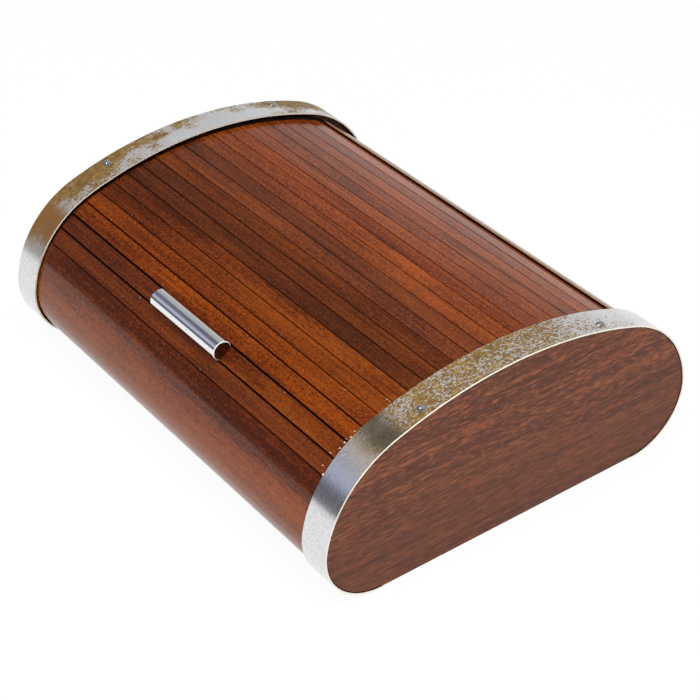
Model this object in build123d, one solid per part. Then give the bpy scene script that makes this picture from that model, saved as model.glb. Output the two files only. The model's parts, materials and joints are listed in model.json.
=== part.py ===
from build123d import *
import math
import os

os.makedirs("parts", exist_ok=True)

# Bread box with a roll top. Millimetres.
# X runs along the slats, -Y is the front with the pull, +Z is up.
# The origin is on the table, under the middle of the box.

# Driving sizes
LENGTH = 400.0
DEPTH = 318.0
HEIGHT = 138.0

# Shape of the ends: a flat foot, corner arcs, shoulder arcs and one wide top arc
CORNER_R = 46.0
TOP_HALF_ANGLE = 20.1
SHOULDER_END_ANGLE = 82.4

# Metal bands round the ends
BAND_T = 1.2
BAND_W = 26.0
BAND_ARRIS = 0.3
PANEL_T = 18.0
PANEL_RECESS = 0.8
PANEL_ARRIS = 0.6

# Domed pins through the bands
PIN_HEAD_D = 7.4
PIN_HEAD_H = 2.2
PIN_SHANK_W = 2.2
PIN_DEPTH = 14.0
PIN_INSET = 7.8
PIN_TOP_ANGLE = 14.7
PIN_FOOT_ANGLE = 150.0

# Roll top
SLAT_COUNT = 21
SLAT_T = 7.0
SLAT_GAP = 0.35
SLAT_ARRIS = 0.2
SLAT_SETBACK = 4.6
SLAT_FACE_GAP = 0.6
TONGUE_T = 3.5
TONGUE_END_GAP = 1.0
SEAM_ANGLE = 52.1
TAIL_ANGLE = 35.5
CURL_TIGHTER = 31.92977
TRACK_FORWARD = 2.5
CLOTH_T = 0.6
CLOTH_GAP = 0.6
CLOTH_MARGIN = 4.0
FLAT_RUN_FIRST = 4
FLAT_RUN_LAST = 11

# Fixed boards
BOARD_SETBACK = 2.4
BOARD_T = 6.0
REAR_BOARD_T = 6.0
REAR_EDGE_T = 1.2
REAR_EDGE_SETBACK = 5.4
REAR_LAP = 1.0
REAR_FEATHER_ANGLE = 18.0
FOOT_BLEND_ANGLE = 100.0
SEAM_GAP = 0.5
FLOOR_TONGUE = 5.0

# Bowed bearers under the roll top, and rails over its tongues behind
BEARER_W = 10.0
BEARER_R = 110.0
BEARER_HALF_CHORD = 52.0
BEARER_CLEARANCE = 1.0
RAIL_W = 5.0
RAIL_T = 3.0
RAIL_GAP = 0.8
RAIL_BLOCK = 9.5
RAIL_KERF = 0.3
RAIL_START = 20.0
RAIL_END_ANGLE = 135.0

# Pull and its screws
PULL_L = 80.5
PULL_D = 14.8
PULL_SEAT = 12.4
PULL_ARRIS = 0.7
PULL_SLAT = 2
SCREW_D = 3.0
SCREW_HEAD_D = 6.0
SCREW_SPACING = 50.0
SCREW_IN_PULL = 7.0
SCREW_CLEARANCE = 0.1

# Derived arcs of the outline
A_TOP = math.radians(TOP_HALF_ANGLE)
A_SIDE = math.radians(SHOULDER_END_ANGLE)
_half = DEPTH / 2 - CORNER_R * (1 - math.sin(A_SIDE))
_rise = HEIGHT - CORNER_R * (1 + math.cos(A_SIDE))
_a = math.sin(A_TOP)
_b = math.sin(A_SIDE) - math.sin(A_TOP)
_c = 1 - math.cos(A_TOP)
_d = math.cos(A_TOP) - math.cos(A_SIDE)
TOP_R = (_half * _d - _rise * _b) / (_a * _d - _b * _c)
SHOULDER_R = (_rise * _a - _half * _c) / (_a * _d - _b * _c)
TOP_C = (0.0, HEIGHT - TOP_R)
SHOULDER_C = (
    (TOP_R - SHOULDER_R) * math.sin(A_TOP),
    TOP_C[1] + (TOP_R - SHOULDER_R) * math.cos(A_TOP),
)
FOOT_HALF = DEPTH / 2 - CORNER_R
CORNER_C = (FOOT_HALF, CORNER_R)

INNER_X = LENGTH / 2 - PANEL_T
BAND_IN = LENGTH / 2 - BAND_W
PANEL_OUT = LENGTH / 2 - PANEL_RECESS
SLAT_HALF = BAND_IN - SLAT_FACE_GAP
TONGUE_HALF = INNER_X - TONGUE_END_GAP
CLOTH_HALF = INNER_X - BEARER_W - CLOTH_MARGIN


def arc_at(angle):
    """Radius and centre of the outline arc that holds an angle, on the back half."""
    a = math.radians(abs(angle))
    if a <= A_TOP:
        return TOP_R, TOP_C
    if a <= A_SIDE:
        return SHOULDER_R, SHOULDER_C
    return CORNER_R, CORNER_C


def point_on(arc, angle, inset):
    """Point of one outline arc, moved in by inset; angle of its normal from +Z, degrees."""
    r, c = arc
    a = math.radians(abs(angle))
    y = c[0] + (r - inset) * math.sin(a)
    z = c[1] + (r - inset) * math.cos(a)
    return (math.copysign(y, angle), z)


def outline_point(angle, inset):
    """Point of the end outline, moved in by inset."""
    return point_on(arc_at(angle), angle, inset)


def outline_arc(a0, a1, inset):
    """One arc of the outline between two angles that lie on the same arc."""
    mid = (a0 + a1) / 2
    arc = arc_at(mid)
    return ThreePointArc(point_on(arc, a0, inset), point_on(arc, mid, inset), point_on(arc, a1, inset))


def outline_face(inset):
    """Closed face of the end outline, moved in by inset."""
    t = TOP_HALF_ANGLE
    s = SHOULDER_END_ANGLE
    edges = [
        outline_arc(-180, -s, inset),
        outline_arc(-s, -t, inset),
        outline_arc(-t, t, inset),
        outline_arc(t, s, inset),
        outline_arc(s, 180, inset),
        Line(outline_point(180, inset), outline_point(-180, inset)),
    ]
    return make_face(edges)


def across(face, x0, x1):
    """Extrude a face drawn in Y and Z along X, from x0 to x1."""
    return extrude(Plane.YZ.offset(x0) * face, amount=x1 - x0)


def polygon(points):
    """Face with straight edges through points in Y and Z."""
    return make_face(Polyline(*points, close=True))


def one(shape):
    """The single solid of a shape."""
    return shape.solids()[0]


def save(shape, node):
    export_step(shape, "parts/" + node + ".step")


# Ends: panel and band share one outline
foot_strip = polygon([(-FOOT_HALF, 0), (FOOT_HALF, 0), (FOOT_HALF, BAND_T), (-FOOT_HALF, BAND_T)])
full_face = outline_face(0)
band_face = full_face - outline_face(BAND_T) - foot_strip
panel_face = full_face - band_face

right_band = one(across(band_face, BAND_IN, LENGTH / 2))
rims = right_band.faces().sort_by(Axis.X)
right_band = one(chamfer(rims[-1].edges().filter_by(GeomType.CIRCLE), BAND_ARRIS))

right_panel = one(across(panel_face, INNER_X, PANEL_OUT))
face_out = right_panel.faces().sort_by(Axis.X)[-1]
right_panel = one(chamfer(face_out.edges(), PANEL_ARRIS))

# Floor board, tongued into both ends
FLOOR_Z = BOARD_SETBACK
FLOOR_HALF_X = INNER_X + FLOOR_TONGUE
floor_face = polygon([
    (-FOOT_HALF, FLOOR_Z),
    (FOOT_HALF, FLOOR_Z),
    (FOOT_HALF, FLOOR_Z + BOARD_T),
    (-FOOT_HALF, FLOOR_Z + BOARD_T),
])
floor_board = one(across(floor_face, -FLOOR_HALF_X, FLOOR_HALF_X))
right_panel = one(right_panel - floor_board)

# Domed pins: two on the top run of each band and one under each foot corner
HEAD_R = PIN_HEAD_D / 2
DOME_R = (HEAD_R ** 2 + PIN_HEAD_H ** 2) / (2 * PIN_HEAD_H)


def pin_at(angle):
    """Pin with a square shank, driven square to the band at an outline angle."""
    y, z = outline_point(angle, 0)
    a = math.radians(angle)
    seat = Plane(
        origin=(LENGTH / 2 - PIN_INSET, y, z),
        x_dir=(1, 0, 0),
        z_dir=(0, math.sin(a), math.cos(a)),
    )
    dome = Pos(0, 0, PIN_HEAD_H - DOME_R) * Sphere(DOME_R)
    cap = dome & Pos(0, 0, PIN_HEAD_H) * Box(PIN_HEAD_D * 2, PIN_HEAD_D * 2, PIN_HEAD_H * 2)
    shank = Box(PIN_SHANK_W, PIN_SHANK_W, PIN_DEPTH, align=(Align.CENTER, Align.CENTER, Align.MAX))
    return seat * one(cap + shank)


pin_angles = [-PIN_FOOT_ANGLE, -PIN_TOP_ANGLE, PIN_TOP_ANGLE, PIN_FOOT_ANGLE]
right_pins = [pin_at(a) for a in pin_angles]
for pin in right_pins:
    right_band = one(right_band - pin)
    right_panel = one(right_panel - pin)

# Path of the cloth side of the roll top: round the front shoulder, over the top, and behind
# into a curl inside the box that takes the tail. The curl is tighter than the shoulder, so it
# stays clear of the rear board. The track lies a little forward of the outline, so the slats run
# close under the bands in front and lower behind.
CLOTH_INSET = SLAT_SETBACK + SLAT_T
PATH_TOP_R = TOP_R - CLOTH_INSET
PATH_SHOULDER_R = SHOULDER_R - CLOTH_INSET
PATH_JOIN = PATH_TOP_R * A_TOP
CURL_R = PATH_SHOULDER_R - CURL_TIGHTER
CURL_C = (
    TOP_C[0] + (PATH_TOP_R - CURL_R) * math.sin(A_TOP),
    TOP_C[1] + (PATH_TOP_R - CURL_R) * math.cos(A_TOP),
)


def path_angle(u):
    """Angle of the outward normal of the cloth line at arc length u, degrees from +Z."""
    if u > PATH_JOIN:
        return TOP_HALF_ANGLE + math.degrees((u - PATH_JOIN) / CURL_R)
    if u < -PATH_JOIN:
        return -TOP_HALF_ANGLE + math.degrees((u + PATH_JOIN) / PATH_SHOULDER_R)
    return math.degrees(u / PATH_TOP_R)


def path_point(u):
    """Point of the cloth line at arc length u from the top middle, front negative."""
    angle = path_angle(u)
    if u > PATH_JOIN:
        y, z = point_on((CURL_R, CURL_C), angle, 0)
    else:
        y, z = outline_point(angle, CLOTH_INSET)
    return (y - TRACK_FORWARD, z)


def path_length(angle):
    """Arc length from the top middle to an angle, as if the shoulder went on."""
    return PATH_JOIN + PATH_SHOULDER_R * math.radians(angle - TOP_HALF_ANGLE)


def step_along(u, chord):
    """Arc length of the point one chord further back."""
    start = path_point(u)
    low, high = u, u + 2 * chord
    for _ in range(60):
        mid = (low + high) / 2
        if math.dist(start, path_point(mid)) < chord:
            low = mid
        else:
            high = mid
    return low


U_FRONT = -path_length(SEAM_ANGLE)
U_TAIL = path_length(TAIL_ANGLE)
SLAT_PITCH = (U_TAIL - U_FRONT) / SLAT_COUNT

joint_u = [U_FRONT]
for _ in range(SLAT_COUNT):
    joint_u.append(step_along(joint_u[-1], SLAT_PITCH))
joints = [path_point(u) for u in joint_u]


def slat_axes(k):
    """Start point, direction along the slat's width and outward normal, for slat k from 1."""
    y0, z0 = joints[k - 1]
    y1, z1 = joints[k]
    along = ((y1 - y0) / SLAT_PITCH, (z1 - z0) / SLAT_PITCH)
    out = (-along[1], along[0])
    return (y0, z0), along, out


def slat_point(k, w, h):
    """Point at width w and height h over the cloth line of slat k."""
    p, along, out = slat_axes(k)
    return (p[0] + along[0] * w + out[0] * h, p[1] + along[1] * w + out[1] * h)


def cloth_section(first, last):
    """Closed outline of the cloth under slats first to last, which keep one curve."""
    upper = [slat_point(first, CLOTH_GAP / 2, 0)]
    lower = [slat_point(first, CLOTH_GAP / 2, -CLOTH_T)]
    for k in range(first, last):
        upper.append(slat_point(k, SLAT_PITCH, 0))
        lower.append(slat_point(k, SLAT_PITCH, -CLOTH_T))
    upper.append(slat_point(last, SLAT_PITCH - CLOTH_GAP / 2, 0))
    lower.append(slat_point(last, SLAT_PITCH - CLOTH_GAP / 2, -CLOTH_T))
    return upper + lower[::-1]


# Slats: full thickness between the bands, with a thinner tongue at each end under the band
slats = {}
tongues = {}
for k in range(1, SLAT_COUNT + 1):
    w0 = SLAT_GAP / 2
    w1 = SLAT_PITCH - SLAT_GAP / 2
    section = [
        slat_point(k, w0, 0),
        slat_point(k, w1, 0),
        slat_point(k, w1, SLAT_T - SLAT_ARRIS),
        slat_point(k, w1 - SLAT_ARRIS, SLAT_T),
        slat_point(k, w0 + SLAT_ARRIS, SLAT_T),
        slat_point(k, w0, SLAT_T - SLAT_ARRIS),
    ]
    slats[k] = one(across(polygon(section), -SLAT_HALF, SLAT_HALF))
    tongue_section = [
        slat_point(k, w0, 0),
        slat_point(k, w1, 0),
        slat_point(k, w1, TONGUE_T),
        slat_point(k, w0, TONGUE_T),
    ]
    right_tongue = one(across(polygon(tongue_section), SLAT_HALF, TONGUE_HALF))
    tongues[k] = [one(mirror(right_tongue, Plane.YZ)), right_tongue]

# Cloth, clear of the bearers: one strip per folding slat and one strip under the run that
# keeps the top curve
cloths = {}
for k in range(1, SLAT_COUNT + 1):
    if FLAT_RUN_FIRST < k <= FLAT_RUN_LAST:
        continue
    last = FLAT_RUN_LAST if k == FLAT_RUN_FIRST else k
    cloths[k] = one(across(polygon(cloth_section(k, last)), -CLOTH_HALF, CLOTH_HALF))

# Pull: a round bar with a flat seat, screwed to its slat from inside
PULL_R = PULL_D / 2
PULL_AXIS_H = math.sqrt(PULL_R ** 2 - (PULL_SEAT / 2) ** 2)
_, pull_along, pull_out = slat_axes(PULL_SLAT)
seat_y, seat_z = slat_point(PULL_SLAT, SLAT_PITCH / 2, 0)
pull_frame = Plane(
    origin=(0, seat_y, seat_z),
    x_dir=(1, 0, 0),
    z_dir=(0, pull_out[0], pull_out[1]),
)
bar = Pos(0, 0, SLAT_T + PULL_AXIS_H) * Rot(0, 90, 0) * Cylinder(PULL_R, PULL_L)
bar = one(chamfer(bar.edges().filter_by(GeomType.CIRCLE), PULL_ARRIS))
over = Pos(0, 0, SLAT_T) * Box(
    PULL_L * 2, PULL_D * 2, PULL_D * 2, align=(Align.CENTER, Align.CENTER, Align.MIN)
)
bar = one(bar & over)

SCREW_L = SLAT_T + SCREW_IN_PULL
HEAD_H = (SCREW_HEAD_D - SCREW_D) / 2
UP = (Align.CENTER, Align.CENTER, Align.MIN)
screw_shape = Cylinder(SCREW_D / 2, SCREW_L, align=UP) + Cone(
    SCREW_HEAD_D / 2, SCREW_D / 2, HEAD_H, align=UP
)
free_hole = Cylinder(SCREW_D / 2 + SCREW_CLEARANCE, SLAT_T, align=UP) + Cone(
    SCREW_HEAD_D / 2, SCREW_D / 2, HEAD_H, align=UP
)
screws = []
for x in (-SCREW_SPACING / 2, SCREW_SPACING / 2):
    screws.append(one(pull_frame * (Pos(x, 0, 0) * screw_shape)))
    slats[PULL_SLAT] = one(slats[PULL_SLAT] - pull_frame * (Pos(x, 0, 0) * free_hole))
    bar = one(bar - Pos(x, 0, 0) * screw_shape)
pull_bar = one(pull_frame * bar)


def seam_setback(at_front):
    """Setback from the outline of a fixed board's edge at the front or rear seam."""
    if not at_front:
        return REAR_EDGE_SETBACK
    y, z = slat_point(1, -SEAM_GAP, SLAT_T)
    return SHOULDER_R - math.dist((abs(y), z), SHOULDER_C)


def board_setback(angle, top_angle, top_setback):
    """Setback of a fixed board: level with the slats at its top edge, fuller at the foot."""
    f = (abs(angle) - top_angle) / (FOOT_BLEND_ANGLE - top_angle)
    f = min(max(f, 0.0), 1.0)
    f = f * f * (3 - 2 * f)
    return top_setback + (BOARD_SETBACK - top_setback) * f


def edge_angle(side, inset, at_front):
    """Angle at which a board's edge beside the end slat crosses an inset outline: clear of the
    lead slat in front, lapping the dipped tail behind."""
    k = 1 if at_front else SLAT_COUNT
    p, along, _ = slat_axes(k)
    base = -SEAM_GAP if at_front else SLAT_PITCH - REAR_LAP
    low, high = (20.0, 80.0)
    for _ in range(60):
        mid = (low + high) / 2
        y, z = outline_point(side * mid, inset)
        w = (y - p[0]) * along[0] + (z - p[1]) * along[1]
        before = w > base if at_front else w < base
        if before:
            low = mid
        else:
            high = mid
    return low


def board_face(side, at_front, thickness, edge_thickness, feather):
    """Curved board from its top edge beside the roll top, round the corner, to the floor."""
    flush = seam_setback(at_front)
    top_out = edge_angle(side, flush, at_front)
    top_in = edge_angle(side, flush + edge_thickness, at_front)
    n = 9
    outer = []
    inner = []
    for i in range(n + 1):
        a = top_out + (FOOT_BLEND_ANGLE - top_out) * i / n
        outer.append(outline_point(side * a, board_setback(a, top_out, flush)))
        b = top_in + (FOOT_BLEND_ANGLE - top_in) * i / n
        f = min((b - top_in) / feather, 1.0) if feather else 1.0
        t = edge_thickness + (thickness - edge_thickness) * f
        inner.append(outline_point(side * b, board_setback(b, top_out, flush) + t))
    foot = FOOT_BLEND_ANGLE
    edges = [
        Spline(*outer),
        outline_arc(side * foot, side * 180, BOARD_SETBACK),
        Line(outline_point(side * 180, BOARD_SETBACK), outline_point(side * 180, BOARD_SETBACK + thickness)),
        outline_arc(side * 180, side * foot, BOARD_SETBACK + thickness),
        Spline(*inner[::-1]),
        Line(inner[0], outer[0]),
    ]
    return make_face(edges)


apron = one(across(board_face(-1, True, BOARD_T, BOARD_T, 0), -INNER_X, INNER_X))
rear_face = board_face(1, False, REAR_BOARD_T, REAR_EDGE_T, REAR_FEATHER_ANGLE)
rear_board = one(across(rear_face, -INNER_X, INNER_X))

# Bowed bearers glued to the inner faces of the ends
crown_y = TOP_C[0] - TRACK_FORWARD
crown_z = TOP_C[1] + PATH_TOP_R - BEARER_CLEARANCE
bow_drop = BEARER_R - math.sqrt(BEARER_R ** 2 - BEARER_HALF_CHORD ** 2)
bow = [
    ThreePointArc(
        (crown_y - BEARER_HALF_CHORD, crown_z - bow_drop),
        (crown_y, crown_z),
        (crown_y + BEARER_HALF_CHORD, crown_z - bow_drop),
    ),
    Line(
        (crown_y + BEARER_HALF_CHORD, crown_z - bow_drop),
        (crown_y - BEARER_HALF_CHORD, crown_z - bow_drop),
    ),
]
right_bearer = one(across(make_face(bow), INNER_X - BEARER_W, INNER_X))

# Rails outside the track behind: a kerfed strip on each end, bent to the curl, that keeps the
# tongues of the tail in
rail_from = RAIL_START
rail_to = PATH_JOIN + CURL_R * math.radians(RAIL_END_ANGLE - TOP_HALF_ANGLE)
rail_count = math.ceil((rail_to - rail_from) / RAIL_BLOCK)
rail_step = (rail_to - rail_from) / rail_count


def off_track(u, out):
    """Point at a distance outside the cloth line."""
    y, z = path_point(u)
    a = math.radians(path_angle(u))
    return (y + out * math.sin(a), z + out * math.cos(a))


rail_in = TONGUE_T + RAIL_GAP
right_rail = []
for i in range(rail_count):
    u0 = rail_from + rail_step * i + RAIL_KERF / 2
    u1 = rail_from + rail_step * (i + 1) - RAIL_KERF / 2
    block = polygon([
        off_track(u0, rail_in),
        off_track(u1, rail_in),
        off_track(u1, rail_in + RAIL_T),
        off_track(u0, rail_in + RAIL_T),
    ])
    right_rail.append(one(across(block, INNER_X - RAIL_W, INNER_X)))

save(right_panel, "right_end_panel")
save(one(mirror(right_panel, Plane.YZ)), "left_end_panel")
save(right_band, "right_band")
save(one(mirror(right_band, Plane.YZ)), "left_band")
save(Compound(children=right_pins), "right_band_pins")
save(Compound(children=[one(mirror(p, Plane.YZ)) for p in right_pins]), "left_band_pins")
save(floor_board, "floor_board")
save(apron, "front_apron")
save(rear_board, "rear_board")
save(right_bearer, "right_bearer")
save(one(mirror(right_bearer, Plane.YZ)), "left_bearer")
save(Compound(children=right_rail), "right_rail")
save(Compound(children=[one(mirror(b, Plane.YZ)) for b in right_rail]), "left_rail")
for k in range(1, SLAT_COUNT + 1):
    save(Compound(children=[slats[k]] + tongues[k]), "slat_%02d" % k)
for k in cloths:
    save(cloths[k], "cloth_%02d" % k)
save(pull_bar, "pull_bar")
save(screws[0], "pull_screw_left")
save(screws[1], "pull_screw_right")
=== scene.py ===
import bpy
import json
import math
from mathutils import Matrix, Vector


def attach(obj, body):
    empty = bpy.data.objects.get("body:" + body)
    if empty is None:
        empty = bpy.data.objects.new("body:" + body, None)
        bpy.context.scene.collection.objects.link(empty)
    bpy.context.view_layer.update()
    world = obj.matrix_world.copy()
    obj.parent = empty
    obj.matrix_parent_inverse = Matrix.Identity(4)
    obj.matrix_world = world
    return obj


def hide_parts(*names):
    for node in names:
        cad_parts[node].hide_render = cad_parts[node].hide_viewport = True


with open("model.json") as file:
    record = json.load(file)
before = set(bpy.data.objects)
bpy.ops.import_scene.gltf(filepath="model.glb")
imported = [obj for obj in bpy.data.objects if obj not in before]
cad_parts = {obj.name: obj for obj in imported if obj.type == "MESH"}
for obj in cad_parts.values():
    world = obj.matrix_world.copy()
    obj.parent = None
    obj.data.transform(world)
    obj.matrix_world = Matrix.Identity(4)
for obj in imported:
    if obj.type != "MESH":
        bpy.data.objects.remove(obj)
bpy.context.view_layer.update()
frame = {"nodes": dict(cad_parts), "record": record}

nodes = frame["nodes"]
scene = bpy.context.scene
scene.view_settings.view_transform = "Standard"

# Lengths are in metres, colours are linear, and noise scales are per metre along X, Y and Z.
# X runs along the slats, -Y is the front and +Z is up.

# Colours of the woods, from dark to light where there are three
RAW_WOOD = ((0.20, 0.115, 0.06), (0.29, 0.18, 0.10), (0.37, 0.24, 0.14))
PANEL_WOOD = ((0.074, 0.0205, 0.012), (0.119, 0.0345, 0.016), (0.204, 0.062, 0.024))
# The rails are near black: painted shade for the gap under the bands.
RAIL_SHADE_WOOD = ((0.008, 0.005, 0.004), (0.014, 0.009, 0.006), (0.022, 0.014, 0.009))
PORE = (0.024, 0.007, 0.003)
# Painted shade for the seams between slats
SEAM_SHADE = (0.010, 0.0035, 0.002)
CHIP = (0.62, 0.56, 0.52)
# Painted shade: the near-black edge of an end panel beside its band, and the dark mixed into its
# inner face.
PANEL_EDGE_SHADE = (0.014, 0.007, 0.005)
PANEL_INSIDE_SHADE = (0.02, 0.01, 0.006)

# Colours of the metals and the cloth
BAND_BROWN = ((0.09, 0.045, 0.010), (0.19, 0.105, 0.021), (0.34, 0.21, 0.05))
BAND_PLATE = ((0.60, 0.60, 0.61), (0.85, 0.85, 0.86))
# Painted highlight for the band's edges
BAND_RIM_HIGHLIGHT = (0.80, 0.75, 0.62)
RIGHT_STAIN = (0.075, 0.058, 0.034)
LEFT_STAIN = (0.21, 0.095, 0.023)
PULL_CHROME = (0.88, 0.89, 0.92)
# Painted shade for the pull's end faces, and a painted highlight for the arris round them
PULL_END_SHADE = (0.26, 0.24, 0.24)
PULL_ARRIS_HIGHLIGHT = (0.85, 0.85, 0.87)
PIN_STEEL = (0.50, 0.47, 0.44)
SCREW_STEEL = (0.5, 0.5, 0.5)
RUST = (0.18, 0.10, 0.05)
DUCK = ((0.13, 0.095, 0.055), (0.26, 0.20, 0.125), (0.36, 0.29, 0.19))


# Node helpers
class Tree:
    def __init__(self, tree):
        self.tree = tree

    def add(self, kind, **props):
        made = self.tree.nodes.new(kind)
        for key, value in props.items():
            setattr(made, key, value)
        return made

    def put(self, value, socket):
        if isinstance(value, bpy.types.NodeSocket):
            self.tree.links.new(value, socket)
        else:
            socket.default_value = value

    def mapped(self, vector, scale=(1, 1, 1), location=(0, 0, 0), rotation=(0, 0, 0)):
        made = self.add("ShaderNodeMapping")
        self.put(vector, made.inputs["Vector"])
        made.inputs["Location"].default_value = location
        made.inputs["Rotation"].default_value = rotation
        made.inputs["Scale"].default_value = scale
        return made.outputs["Vector"]

    def noise(self, vector, scale, seed, detail=3.0, rough=0.55, warp=0.0):
        made = self.add("ShaderNodeTexNoise", noise_dimensions="4D")
        self.put(self.mapped(vector, scale), made.inputs["Vector"])
        made.inputs["W"].default_value = seed
        made.inputs["Scale"].default_value = 1.0
        made.inputs["Detail"].default_value = detail
        made.inputs["Roughness"].default_value = rough
        made.inputs["Distortion"].default_value = warp
        return made.outputs["Fac"]

    def spots(self, vector, scale):
        made = self.add("ShaderNodeTexVoronoi")
        self.put(self.mapped(vector, scale), made.inputs["Vector"])
        made.inputs["Scale"].default_value = 1.0
        return made.outputs["Distance"]

    def ramp(self, fac, places, colours):
        made = self.add("ShaderNodeValToRGB")
        points = made.color_ramp.elements
        while len(points) < len(places):
            points.new(1.0)
        for point, at, colour in zip(points, places, colours):
            point.position = at
            point.color = (*colour, 1.0)
        self.put(fac, made.inputs["Fac"])
        return made.outputs["Color"]

    def mix(self, fac, first, second):
        made = self.add("ShaderNodeMix", data_type="RGBA")
        self.put(fac, made.inputs[0])
        for value, socket in ((first, made.inputs[6]), (second, made.inputs[7])):
            self.put((*value, 1.0) if isinstance(value, tuple) else value, socket)
        return made.outputs[2]

    def math(self, kind, first, second=0.0, clamp=False):
        made = self.add("ShaderNodeMath", operation=kind, use_clamp=clamp)
        self.put(first, made.inputs[0])
        self.put(second, made.inputs[1])
        return made.outputs[0]

    def plus(self, first, second, clamp=False):
        return self.math("ADD", first, second, clamp)

    def minus(self, first, second, clamp=False):
        return self.math("SUBTRACT", first, second, clamp)

    def times(self, first, second):
        return self.math("MULTIPLY", first, second)

    def absolute(self, value):
        return self.math("ABSOLUTE", value)

    # Adds a noise to a value, as a swing of the given width about none
    def swayed(self, value, noise, width):
        return self.plus(value, self.times(self.minus(noise, 0.5), width))

    # Goes smoothly from out_low to out_high while the value goes from low to high
    def span(self, value, low, high, out_low=0.0, out_high=1.0):
        made = self.add("ShaderNodeMapRange", interpolation_type="SMOOTHSTEP")
        self.put(value, made.inputs["Value"])
        made.inputs["From Min"].default_value = low
        made.inputs["From Max"].default_value = high
        made.inputs["To Min"].default_value = out_low
        made.inputs["To Max"].default_value = out_high
        return made.outputs["Result"]

    def split(self, vector):
        made = self.add("ShaderNodeSeparateXYZ")
        self.put(vector, made.inputs[0])
        return made.outputs

    def normal(self):
        return self.add("ShaderNodeTexCoord").outputs["Normal"]

    # How far the face looks along X, from -1 to 1
    def facing(self):
        return self.split(self.normal())[0]

    # Above zero where the face looks away from the centre, below where it looks to it
    def outward(self, place, centre):
        way = self.add("ShaderNodeVectorMath", operation="SUBTRACT")
        self.put(place, way.inputs[0])
        way.inputs[1].default_value = centre
        lean = self.add("ShaderNodeVectorMath", operation="DOT_PRODUCT")
        self.put(self.normal(), lean.inputs[0])
        self.put(way.outputs[0], lean.inputs[1])
        return lean.outputs["Value"]

    def bump(self, height, strength, distance):
        made = self.add("ShaderNodeBump")
        self.put(height, made.inputs["Height"])
        made.inputs["Strength"].default_value = strength
        made.inputs["Distance"].default_value = distance
        return made.outputs["Normal"]


def material(name):
    made = bpy.data.materials.new(name)
    made.use_nodes = True
    made.node_tree.nodes.clear()
    tree = Tree(made.node_tree)
    shader = tree.add("ShaderNodeBsdfPrincipled")
    out = tree.add("ShaderNodeOutputMaterial")
    made.node_tree.links.new(shader.outputs[0], out.inputs[0])
    place = tree.add("ShaderNodeTexCoord").outputs["Object"]
    return made, tree, shader, place


def dress(node, made):
    slots = nodes[node].data.materials
    if len(slots):
        for i in range(len(slots)):
            slots[i] = made
    else:
        slots.append(made)


# Painted shade in the seams: darkens a slat towards its two long edges, each by its own strength
def seam_shade(tree, side, half, edges):
    shade = []
    for sign, strength in zip((-1, 1), edges):
        reach = half - 0.0003 - 0.0008 * strength
        near = tree.span(tree.times(side, sign), reach, half - 0.0001)
        shade.append(tree.times(near, strength))
    return tree.plus(shade[0], shade[1], True)


# A few pale chips, most of them at the right tip of a slat and along its seams
def chips(tree, place, side, half, seed):
    nick = tree.noise(place, (500, 500, 500), seed, 1.0)
    tip = tree.span(tree.split(place)[0], 0.160, 0.172, 0.0, 0.14)
    seam = tree.span(tree.absolute(side), half - 0.0025, half, 0.0, 0.075)
    return tree.span(tree.plus(nick, tree.plus(tip, seam)), 0.80, 0.84)


# Lacquered mahogany: fine flecks and long grain lines, with slow drifts of tone along the piece.
# A board with an inside is raw wood on the faces that look to that point. An edge is a slat's own
# frame, and edges are the strengths of the painted shade at its two seams. lean makes a slat lighter
# to the right.
# A fade by height, two heights and two amounts, makes a board lighter or darker by height: painted
# light and shade.
def mahogany(name, tone, seed, edge=None, edges=(0.0, 0.0), drift_by=0.4, lean=0.0, coat=0.65,
             inside=None, painted_light_by_height=None, polish=0.12, chipped=False):
    made, tree, shader, place = material(name)
    raw = tree.span(tree.outward(place, inside), 0.004, -0.004) if inside else None
    if edge:
        place = tree.mapped(place, location=edge["location"], rotation=edge["rotation"])
    lines = tree.noise(place, (14, 430, 430), seed, 4.0, 0.6)
    drift = tree.noise(place, (6, 40, 40), seed + 3.1, 2.0)
    fleck = tree.noise(place, (420, 900, 900), seed + 7.7, 3.0, 0.7, 0.3)
    pores = tree.noise(place, (130, 1900, 1900), seed + 11.3, 2.0)
    deep = (0.030 + 0.035 * tone, 0.0068 + 0.004 * tone, 0.0026)
    body = (0.062 + 0.115 * tone, 0.0135 + 0.017 * tone, 0.0034)
    warm = (0.115 + 0.22 * tone, 0.026 + 0.042 * tone, 0.0040)
    glow = tuple(c * 1.35 for c in warm)
    blend = tree.plus(tree.times(lines, 0.35), tree.times(fleck, 0.65))
    blend = tree.swayed(blend, drift, drift_by)
    if lean:
        blend = tree.plus(blend, tree.times(tree.split(place)[0], lean))
    # Painted light and shade by height
    if painted_light_by_height:
        blend = tree.plus(blend, tree.span(tree.split(place)[2], *painted_light_by_height))
    colour = tree.ramp(blend, (0.38, 0.48, 0.60, 0.76), (deep, body, warm, glow))
    colour = tree.mix(tree.times(tree.span(pores, 0.60, 0.70), 0.45), colour, PORE)
    if edge:
        side = tree.split(place)[1]
        colour = tree.mix(seam_shade(tree, side, edge["half"], edges), colour, SEAM_SHADE)
        if chipped:
            colour = tree.mix(chips(tree, place, side, edge["half"], seed + 17.0), colour, CHIP)
    if inside:
        colour = tree.mix(raw, colour, tree.ramp(lines, (0.35, 0.5, 0.65), RAW_WOOD))
        tree.put(tree.span(raw, 0.0, 1.0, coat, 0.0), shader.inputs["Coat Weight"])
    else:
        shader.inputs["Coat Weight"].default_value = coat
    tree.put(colour, shader.inputs["Base Color"])
    tree.put(tree.span(fleck, 0.2, 0.8, 0.30, 0.44), shader.inputs["Roughness"])
    shader.inputs["Specular IOR Level"].default_value = 0.02
    shader.inputs["Coat Roughness"].default_value = polish
    shader.inputs["Coat IOR"].default_value = 1.5
    tree.put(tree.bump(lines, 0.05, 0.0003), shader.inputs["Normal"])
    return made


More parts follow.
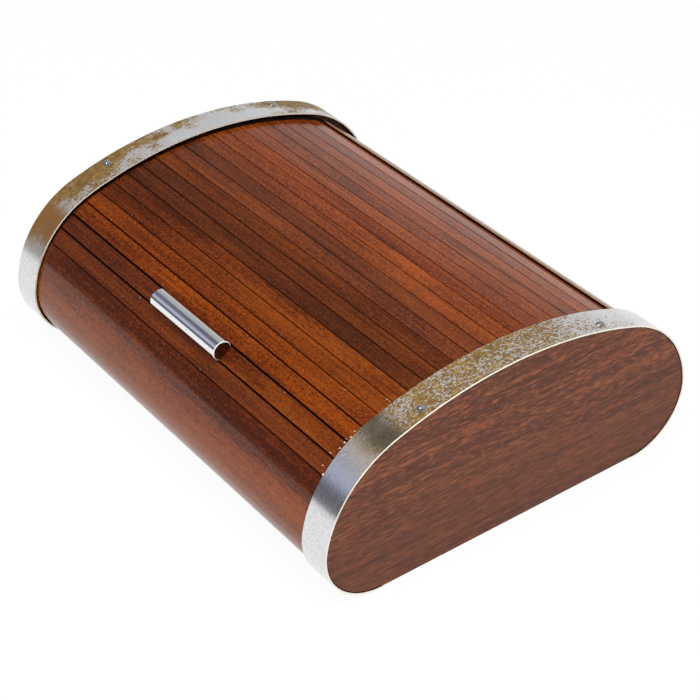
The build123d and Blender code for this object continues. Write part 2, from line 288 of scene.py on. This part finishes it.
# The tilt and place of a slat's upper face, and half its width
def slat_frame(node):
    mesh = nodes[node].data
    upper = [(math.atan2(p.normal.y, p.normal.z), p.area) for p in mesh.polygons
             if abs(p.normal.x) < 0.1 and p.normal.z > 0]
    areas = {}
    for lean, area in upper:
        key = round(lean, 2)
        areas[key] = areas.get(key, 0.0) + area
    widest = max(areas, key=areas.get)
    tilt = max((u for u in upper if abs(u[0] - widest) < 0.02), key=lambda u: u[1])[0]
    along = Vector((0, math.cos(tilt), -math.sin(tilt)))
    up = Vector((0, math.sin(tilt), math.cos(tilt)))
    reach = [along.dot(v.co) for v in mesh.vertices]
    rise = max(up.dot(v.co) for v in mesh.vertices)
    middle = (min(reach) + max(reach)) / 2
    half = (max(reach) - min(reach)) / 2
    return {"rotation": (tilt, 0, 0), "location": (0, -middle, -rise), "half": half}


# Slats, from the front to the back: how light each one is, how much lighter to the right,
# and how dark the painted shade in the seam before it
# Slats 20 and 21 are lighter as painted light that lifts the shade in the gap under the rear board.
tones = {1: 0.20, 2: 0.25, 3: 0.51, 4: 0.50, 5: 0.29, 6: 0.30, 7: 0.02, 8: 0.10, 9: 0.10, 10: 0.26,
         11: 0.20, 12: 0.46, 13: 0.64, 14: 0.70, 15: 0.60, 16: 0.60, 17: 0.62, 18: 0.65, 19: 0.70,
         20: 0.75, 21: 0.90}
leans = {1: 0.15, 2: 0.4, 3: 0.15, 4: 0.2, 5: 0.35, 6: 0.3, 7: 0.1, 8: 0.15}
seams = {1: 0.12, 2: 0.14, 3: 0.18, 4: 0.12, 5: 0.35, 6: 0.1, 7: 0.3, 8: 0.38, 9: 0.35, 10: 0.15,
         11: 0.35, 12: 0.15, 13: 0.3, 14: 0.2, 15: 0.28, 16: 0.15, 17: 0.22, 18: 0.15, 19: 0.18,
         20: 0.12, 21: 0.12}
LAST_SEAM = 0.2
LAST_CHIPPED = 5
slats = sorted(n for n in nodes if n.startswith("slat_"))
for name in slats:
    k = int(name[-2:])
    lacquer = 0.2 if k < 10 else 0.4 if k < 15 else 0.65
    wood = mahogany("lacquered_" + name, tones[k], 2.3 * k, slat_frame(name),
                    (seams[k], seams.get(k + 1, LAST_SEAM)), lean=leans.get(k, 0.0), coat=lacquer,
                    chipped=k <= LAST_CHIPPED)
    dress(name, wood)
# The apron is lighter low down, painted light of the floor's bounce, and darker higher up, painted
# shade.
dress("front_apron", mahogany("lacquered_apron", 0.42, 71.0, drift_by=0.2, inside=(0, -0.125, 0.03),
                              painted_light_by_height=(0.081, 0.057, -0.09, 0.085), polish=0.08))
dress("rear_board", mahogany("lacquered_rear_board", 0.40, 83.0, inside=(0, 0.07, 0.05)))


# Plain wood with fine short streaks along the depth of the box, or along X when turned.
# With outward, the sign of X that a panel's outer face looks to, there are pale dashes, a dark edge
# that is painted shade beside the band, and an inner face darkened as painted shade.
def plain_wood(name, seed, shades, gloss, outward=0, turned=False):
    made, tree, shader, place = material(name)
    if turned:
        place = tree.mapped(place, rotation=(0, 0, math.pi / 2))
    streak = tree.noise(place, (300, 70, 820), seed, 2.0, 0.5)
    fleck = tree.noise(place, (500, 180, 1300), seed + 4.0, 2.0, 0.6)
    drift = tree.noise(place, (12, 7, 180), seed + 8.0, 3.0, 0.6)
    blend = tree.plus(tree.times(streak, 0.6), tree.times(fleck, 0.4))
    blend = tree.swayed(blend, drift, 0.4)
    colour = tree.ramp(blend, (0.36, 0.5, 0.64), shades)
    if outward:
        dash = tree.noise(place, (300, 120, 1000), seed + 12.0, 1.0, 0.5)
        dash = tree.span(tree.swayed(dash, drift, 0.35), 0.54, 0.62)
        upper = tree.span(tree.split(place)[2], 0.02, 0.09, 0.15, 0.8)
        colour = tree.mix(tree.times(dash, upper), colour, tuple(c * 1.55 for c in shades[2]))
        turn = tree.times(tree.facing(), outward)
        # Painted shade: inward faces are darkened, and the edges round the outer face are near
        # black.
        inner = tree.mix(0.55, colour, PANEL_INSIDE_SHADE)
        colour = tree.mix(tree.span(turn, 0.97, 0.9), colour, PANEL_EDGE_SHADE)
        colour = tree.mix(tree.span(turn, -0.5, -0.9), colour, inner)
    tree.put(colour, shader.inputs["Base Color"])
    tree.put(tree.span(streak, 0.2, 0.8, gloss - 0.06, gloss + 0.08), shader.inputs["Roughness"])
    shader.inputs["Specular IOR Level"].default_value = 0.2
    tree.put(tree.bump(streak, 0.10, 0.0004), shader.inputs["Normal"])
    return made


for side, seed, outward in (("right", 5.0, 1), ("left", 9.0, -1)):
    dress(side + "_end_panel", plain_wood(side + "_panel_wood", seed, PANEL_WOOD, 0.48, outward))
    # The rails get near-black wood as painted shade in the gap under the bands.
    dress(side + "_rail", plain_wood(side + "_rail_wood", seed + 2.0, RAIL_SHADE_WOOD, 0.6))
for node in ("floor_board", "right_bearer", "left_bearer"):
    dress(node, plain_wood(node + "_wood", 21.0, RAW_WOOD, 0.6, turned=node == "floor_board"))


# Bright plate, worn through to brown on the top run, with a painted highlight on its rims.
# start: height where the wear begins. wear: how much of it there is. soft: how soft its edges are.
# fade: from this Y to that Y the wear falls by this much, and it regains so much at the back.
# outer: how much more the outer side of the band is worn than the inner side.
# tarnish: Y and colour of a stain at the front. weights: large patches against fine grain.
def plate(name, seed, start, wear, soft, fade, outer, tarnish, weights):
    made, tree, shader, place = material(name)
    x, y, z = tree.split(place)
    drift = tree.noise(place, (18, 14, 14), seed, 2.0)
    top = tree.span(tree.swayed(z, drift, 0.02), start, start + 0.022)
    patch = tree.noise(place, (70, 45, 45), seed + 1.0, 3.0, 0.6)
    grain = tree.noise(place, (760, 460, 460), seed + 2.0, 3.0, 0.65, 0.5)
    mottle = tree.noise(place, (420, 230, 230), seed + 5.0, 3.0, 0.7)
    fade_from, fade_to, fade_by, regain = fade
    amount = tree.plus(tree.times(patch, weights[0]), tree.times(grain, weights[1]))
    amount = tree.minus(amount, tree.span(y, fade_from, fade_to, 0.0, fade_by))
    amount = tree.plus(amount, tree.span(y, 0.05, 0.10, 0.0, regain))
    amount = tree.plus(amount, tree.span(tree.absolute(x), 0.181, 0.196, -outer, outer))
    middle = 0.74 - wear
    worn = tree.times(tree.span(amount, middle - soft, middle + soft), top)
    brown = tree.ramp(mottle, (0.3, 0.5, 0.7), BAND_BROWN)
    haze = tree.ramp(grain, (0.3, 0.7), BAND_PLATE)
    stain_at, stain = tarnish
    near = tree.span(tree.absolute(tree.minus(y, stain_at)), 0.018, 0.003)
    dim = tree.times(near, tree.span(patch, 0.3, 0.6, 0.75, 1.0))
    colour = tree.mix(dim, tree.mix(worn, haze, brown), stain)
    # Painted highlight: edges that look partly along X get a pale colour and lose most of their
    # metal.
    rim_highlight = tree.span(tree.absolute(tree.facing()), 0.35, 0.6)
    tree.put(tree.mix(rim_highlight, colour, BAND_RIM_HIGHLIGHT), shader.inputs["Base Color"])
    plated = tree.minus(tree.span(top, 0.0, 1.0, 1.0, 0.78), tree.times(worn, 0.5))
    tree.put(tree.minus(plated, tree.times(rim_highlight, 0.7), True), shader.inputs["Metallic"])
    dull = tree.plus(tree.span(top, 0.0, 1.0, 0.14, 0.24), tree.times(grain, 0.08))
    tree.put(tree.plus(dull, tree.times(worn, 0.20)), shader.inputs["Roughness"])
    tree.put(tree.bump(tree.minus(1.0, worn), 0.12, 0.0002), shader.inputs["Normal"])
    return made


dress("right_band", plate("right_plate", 1.0, start=0.094, wear=0.06, soft=0.06,
                          fade=(0.015, 0.11, 0.20, 0.0), outer=0.0,
                          tarnish=(-0.106, RIGHT_STAIN), weights=(0.35, 1.15)))
dress("left_band", plate("left_plate", 14.0, start=0.072, wear=0.10, soft=0.11,
                         fade=(-0.07, 0.01, 0.20, 0.19), outer=0.07,
                         tarnish=(-0.134, LEFT_STAIN), weights=(0.75, 0.75)))


# Bright metal with a few rust specks. Where an end colour is given, faces that look along X get it
# as painted shade, and the arris round them is a painted highlight: pale and less metallic.
def bright(name, colour, rough, specks, shaded_ends=None):
    made, tree, shader, place = material(name)
    fine = tree.noise(place, (700, 700, 700), 3.0, 3.0)
    dots = tree.span(tree.spots(place, (160, 160, 160)), 0.16, 0.07)
    some = tree.span(tree.noise(place, (60, 60, 60), 6.0), 0.52, 0.6)
    spot = tree.times(tree.times(dots, some), specks)
    tint = tree.ramp(fine, (0.3, 0.7), (tuple(c * 0.9 for c in colour), colour))
    plated = tree.span(spot, 0, 1, 1.0, 0.2)
    if shaded_ends:
        # Painted shade on the end faces, painted highlight on the arris round them
        turn = tree.absolute(tree.facing())
        end = tree.span(turn, 0.85, 0.97)
        arris_highlight = tree.minus(tree.span(turn, 0.45, 0.6), end)
        tint = tree.mix(end, tint, shaded_ends)
        tint = tree.mix(arris_highlight, tint, PULL_ARRIS_HIGHLIGHT)
        plated = tree.minus(plated, tree.times(arris_highlight, 0.6), True)
    tree.put(tree.mix(spot, tint, RUST), shader.inputs["Base Color"])
    tree.put(plated, shader.inputs["Metallic"])
    tree.put(tree.span(fine, 0.2, 0.8, rough, rough + 0.06), shader.inputs["Roughness"])
    return made


dress("pull_bar", bright("pull_plate", PULL_CHROME, 0.07, 0.8, PULL_END_SHADE))
for side in ("right", "left"):
    dress(side + "_band_pins", bright(side + "_pin_plate", PIN_STEEL, 0.14, 0.5))
    dress("pull_screw_" + side, bright(side + "_screw_steel", SCREW_STEEL, 0.3, 0.2))


# Backing cloth: one woven strip under each folding slat, one under the run
THREAD = 0.0011
CLOTH_T = 0.0005
CLOTH_COLUMNS = 48
CLOTH_STEPS = 6
SAME_POINT = 1e-5


def duck():
    made, tree, shader, place = material("cotton_duck")
    x, y, z = tree.split(place)
    turn = math.tau / THREAD
    warp = tree.math("SINE", tree.times(x, turn))
    weft = tree.math("SINE", tree.times(tree.plus(y, tree.times(z, 0.4)), turn))
    weave = tree.plus(tree.times(tree.times(warp, weft), 0.5), 0.5)
    slub = tree.noise(place, (240, 900, 900), 4.0, 3.0)
    blend = tree.plus(tree.times(weave, 0.5), tree.times(slub, 0.5))
    tree.put(tree.ramp(blend, (0.2, 0.55, 0.85), DUCK), shader.inputs["Base Color"])
    shader.inputs["Roughness"].default_value = 0.9
    shader.inputs["Sheen Weight"].default_value = 0.25
    tree.put(tree.bump(weave, 0.5, 0.0003), shader.inputs["Normal"])
    return made


# The middle line of a cloth node's section, from the front to the back, in small steps
def cloth_line(mesh, side):
    section = []
    for v in mesh.vertices:
        point = (v.co.y, v.co.z)
        if v.co.x > side - SAME_POINT and all(math.dist(point, q) > SAME_POINT for q in section):
            section.append(point)
    far = max(((a, b) for a in section for b in section), key=lambda ab: math.dist(*ab))
    run = Vector(far[1]) - Vector(far[0])
    if run.x < 0:
        run = -run
    section.sort(key=lambda p: run.dot(Vector(p)))
    pairs = zip(section[::2], section[1::2])
    middle = [Vector(((a[0] + b[0]) / 2, (a[1] + b[1]) / 2)) for a, b in pairs]
    rows = []
    for a, b in zip(middle, middle[1:]):
        rows += [a.lerp(b, i / CLOTH_STEPS) for i in range(CLOTH_STEPS)]
    return rows + [middle[-1]]


cloth = duck()
bodies = frame["record"]["behaviour"]["bodies"]
body_of = {n: body for body, members in bodies.items() for n in members}
for node in sorted(n for n in nodes if n.startswith("cloth_")):
    side = max(v.co.x for v in nodes[node].data.vertices)
    rows = cloth_line(nodes[node].data, side)
    wide = CLOTH_COLUMNS + 1
    points = []
    for row in rows:
        points += [(side * (2 * c / CLOTH_COLUMNS - 1), row.x, row.y) for c in range(wide)]
    faces = [(r * wide + c, r * wide + c + 1, (r + 1) * wide + c + 1, (r + 1) * wide + c)
             for r in range(len(rows) - 1) for c in range(CLOTH_COLUMNS)]
    made = bpy.data.meshes.new("backing_" + node[-2:])
    made.from_pydata(points, [], faces)
    made.update()
    strip = bpy.data.objects.new("backing_" + node[-2:], made)
    scene.collection.objects.link(strip)
    made.materials.append(cloth)
    thick = strip.modifiers.new("thickness", "SOLIDIFY")
    thick.thickness = CLOTH_T
    thick.offset = 0.0
    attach(strip, body_of[node])
    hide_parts(node)


# Floor: white to the eye and in reflections, with a trace of the shadow
FLOOR_HALF = 2.2
FLOOR_GLOW = 0.95
corners = [(-1, -1), (1, -1), (1, 1), (-1, 1)]
floor_mesh = bpy.data.meshes.new("floor")
floor_mesh.from_pydata([(i * FLOOR_HALF, j * FLOOR_HALF, 0) for i, j in corners], [], [(0, 1, 2, 3)])
floor = bpy.data.objects.new("floor", floor_mesh)
scene.collection.objects.link(floor)
paper = bpy.data.materials.new("paper")
paper.use_nodes = True
paper.node_tree.nodes.clear()
tree = Tree(paper.node_tree)
out = tree.add("ShaderNodeOutputMaterial")
matt = tree.add("ShaderNodeBsdfDiffuse")
matt.inputs["Color"].default_value = (0.9, 0.9, 0.9, 1)
glow = tree.add("ShaderNodeEmission")
glow.inputs["Color"].default_value = (1, 1, 1, 1)
rays = tree.add("ShaderNodeLightPath").outputs
mirrored = tree.math("MAXIMUM", rays["Is Glossy Ray"], rays["Is Transmission Ray"])
seen = tree.math("MAXIMUM", rays["Is Camera Ray"], mirrored)
share = tree.add("ShaderNodeMixShader")
tree.put(tree.times(seen, FLOOR_GLOW), share.inputs[0])
tree.put(matt.outputs[0], share.inputs[1])
tree.put(glow.outputs[0], share.inputs[2])
tree.put(share.outputs[0], out.inputs[0])
floor_mesh.materials.append(paper)

# Surroundings: a dim room with a bluish strip of light in front, a pale wall behind.
# Each ramp goes from the horizon up. The camera itself sees white.
FRONT_HEIGHTS = (0.0, 0.22, 0.36, 0.5, 0.62, 0.75, 0.9)
FRONT_LIGHTS = ((0.17, 0.165, 0.18), (0.14, 0.14, 0.16), (0.50, 0.53, 0.66), (0.48, 0.51, 0.64),
                (0.20, 0.21, 0.25), (0.11, 0.11, 0.12), (0.6, 0.61, 0.63))
REAR_HEIGHTS = (0.0, 0.12, 0.37, 0.57, 0.9)
REAR_LIGHTS = ((0.95, 0.94, 0.93), (0.80, 0.79, 0.78), (0.50, 0.50, 0.51), (0.46, 0.46, 0.47),
               (0.6, 0.61, 0.63))
world = bpy.data.worlds.new("studio")
scene.world = world
world.use_nodes = True
world.node_tree.nodes.clear()
tree = Tree(world.node_tree)
out = tree.add("ShaderNodeOutputWorld")
back = tree.add("ShaderNodeBackground")
way = tree.split(tree.add("ShaderNodeTexCoord").outputs["Generated"])
front_sky = tree.ramp(way[2], FRONT_HEIGHTS, FRONT_LIGHTS)
rear_sky = tree.ramp(way[2], REAR_HEIGHTS, REAR_LIGHTS)
sky = tree.mix(tree.span(way[1], -0.1, 0.35), front_sky, rear_sky)
rays = tree.add("ShaderNodeLightPath").outputs
sky = tree.mix(rays["Is Camera Ray"], sky, (1.0, 1.0, 1.0))
tree.put(sky, back.inputs["Color"])
tree.put(back.outputs[0], out.inputs[0])


def aimed(made, place, target):
    made.location = place
    made.rotation_euler = (Vector(target) - Vector(place)).to_track_quat("-Z", "Y").to_euler()


# Lamps: square, aimed at the box, and left out of reflections unless mirrored
LAMP_AIM = (0, 0, 0.05)


def softbox(name, place, width, power, colour, mirrored=False):
    lamp = bpy.data.lights.new(name, "AREA")
    lamp.shape = "RECTANGLE"
    lamp.size = width
    lamp.size_y = width
    lamp.energy = power
    lamp.color = colour
    made = bpy.data.objects.new(name, lamp)
    scene.collection.objects.link(made)
    aimed(made, place, LAMP_AIM)
    made.visible_glossy = mirrored


softbox("overhead", (0.45, -0.35, 1.7), 1.1, 30, (1.0, 0.985, 0.96))
softbox("front_fill", (0.9, -1.5, 1.1), 0.9, 7, (1.0, 0.99, 0.98))
softbox("window", (-0.2, -1.0, 1.7), 0.35, 4.5, (1.0, 1.0, 1.0), mirrored=True)

# Camera: fitted to the photograph
CAMERA_PLACE = (0.9334, -0.6902, 0.8653)
CAMERA_AIM = (0.0088, 0.00385, 0.03275)
CAMERA_SENSOR = 36.0
CAMERA_LENS = 98.3
eye = bpy.data.cameras.new("eye")
eye.sensor_width = CAMERA_SENSOR
eye.lens = CAMERA_LENS
camera = bpy.data.objects.new("eye", eye)
scene.collection.objects.link(camera)
aimed(camera, CAMERA_PLACE, CAMERA_AIM)
scene.camera = camera
